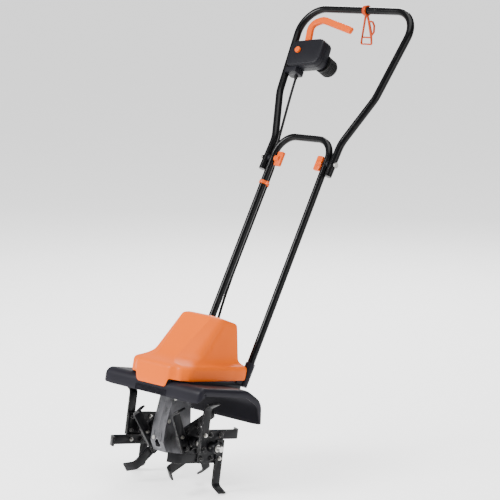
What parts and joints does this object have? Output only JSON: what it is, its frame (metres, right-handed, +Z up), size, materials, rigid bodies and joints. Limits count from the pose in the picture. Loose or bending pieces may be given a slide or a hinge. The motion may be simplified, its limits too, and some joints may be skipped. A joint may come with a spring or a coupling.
{
  "type": "electric garden tiller",
  "caption": "Walk-behind electric tiller: orange motor hood over a black tine guard, worm gearbox, bladed tine stars and a folding tube handle with switch box.",
  "frame": {"origin": "on the ground, straight below the middle of the tine shaft", "axes": "+Z up, +X along the tine shaft towards the side with no switch box, +Y towards the user"},
  "size_m": [0.4082, 0.8295, 1.1717],
  "materials": {
    "hood_orange": "satin moulded orange plastic",
    "control_orange": "moulded orange plastic",
    "hook_orange": "darker moulded orange plastic",
    "guard_black": "textured black moulded plastic",
    "box_black": "fine textured black plastic",
    "tube_black": "gloss black powder coat",
    "tine_black": "black painted forged steel",
    "cast_alloy": "raw die casting",
    "bright_steel": "zinc plated",
    "gear_steel": "machined",
    "bronze": "machined bronze",
    "rubber_black": "soft rubber",
    "laminations": "varnished steel sheets",
    "copper": "copper bars",
    "fan_grey": "moulded plastic"
  },
  "bodies": {
    "chassis": {"hood": "hood_orange", "base_tray": "guard_black", "tine_guard": "guard_black", "tray_screws": "bright_steel", "gearbox_left": "cast_alloy", "gearbox_right": "cast_alloy", "gearbox_screws": "bright_steel", "oil_plug": "gear_steel", "shaft_bearings": "gear_steel", "shaft_seals": "rubber_black", "motor_can": "gear_steel", "motor_field": "laminations", "motor_bearings": "gear_steel", "motor_brushes": "copper", "lower_handle": "tube_black", "handle_sockets": "guard_black", "handle_saddles": "box_black", "cable_clip": "control_orange", "cable_lower": "rubber_black"},
    "rotor": {"worm_shaft": "gear_steel", "motor_armature": "laminations", "commutator": "copper", "cooling_fan": "fan_grey"},
    "tines": {"tine_shaft": "gear_steel", "worm_wheel": "bronze", "hub_pins": "bright_steel", "tine_bolts": "bright_steel", "hub_left_outer": "tine_black", "hub_left_inner": "tine_black", "hub_right_inner": "tine_black", "hub_right_outer": "tine_black", "tines_left_outer": "tine_black", "tines_left_inner": "tine_black", "tines_right_inner": "tine_black", "tines_right_outer": "tine_black"},
    "handle_top": {"upper_handle": "tube_black", "handle_bolts": "bright_steel", "switch_box_front": "box_black", "switch_box_back": "box_black", "switch_box_clamp": "box_black", "switch_box_screws": "bright_steel", "lever_pin": "bright_steel", "plug_inlet": "rubber_black", "plug_prongs": "bright_steel", "cable_gland": "rubber_black", "microswitch": "fan_grey", "cable_upper": "rubber_black"},
    "lever": {"switch_lever": "control_orange"},
    "button": {"lock_button": "control_orange"},
    "left_knob": {"knob_left": "control_orange"},
    "right_knob": {"knob_right": "control_orange"},
    "hook": {"cord_hook": "hook_orange"}
  },
  "joints": [
    {"name": "tine_spin", "type": "hinge", "parent": "chassis", "child": "tines", "pos_m": [0, 0, 0.11801], "axis": [1, 0, 0], "continuous": true},
    {"name": "motor_spin", "type": "hinge", "parent": "chassis", "child": "rotor", "pos_m": [0, -0.00803, 0.19023], "axis": [0, 0.4695, 0.8829], "continuous": true},
    {"name": "handle_fold", "type": "hinge", "parent": "chassis", "child": "handle_top", "pos_m": [0, 0.4545, 0.77221], "axis": [-1, 0, 0], "range_deg": [0, 130]},
    {"name": "lever_squeeze", "type": "hinge", "parent": "handle_top", "child": "lever", "pos_m": [-0.13754, 0.63213, 1.05429], "axis": [0, -0.8462, 0.5329], "range_deg": [0, 12], "stiffness_Nm_per_rad": 0.6, "springref_deg": -17.19},
    {"name": "lock_button_press", "type": "slide", "parent": "handle_top", "child": "button", "axis": [0, 0.8462, -0.5329], "range_m": [0, 0.004], "stiffness_N_per_m": 300, "springref_m": -0.003},
    {"name": "left_knob_turn", "type": "hinge", "parent": "handle_top", "child": "left_knob", "pos_m": [-0.07, 0.4545, 0.77221], "axis": [-1, 0, 0], "continuous": true},
    {"name": "right_knob_turn", "type": "hinge", "parent": "handle_top", "child": "right_knob", "pos_m": [0.07, 0.4545, 0.77221], "axis": [1, 0, 0], "continuous": true},
    {"name": "hook_swing", "type": "hinge", "parent": "handle_top", "child": "hook", "pos_m": [0.018, 0.69696, 1.15723], "axis": [1, 0, 0], "range_deg": [-50, 60]}
  ],
  "couplings": [
    {"joint": "motor_spin", "follows": "tine_spin", "ratio": 32}
  ]
}
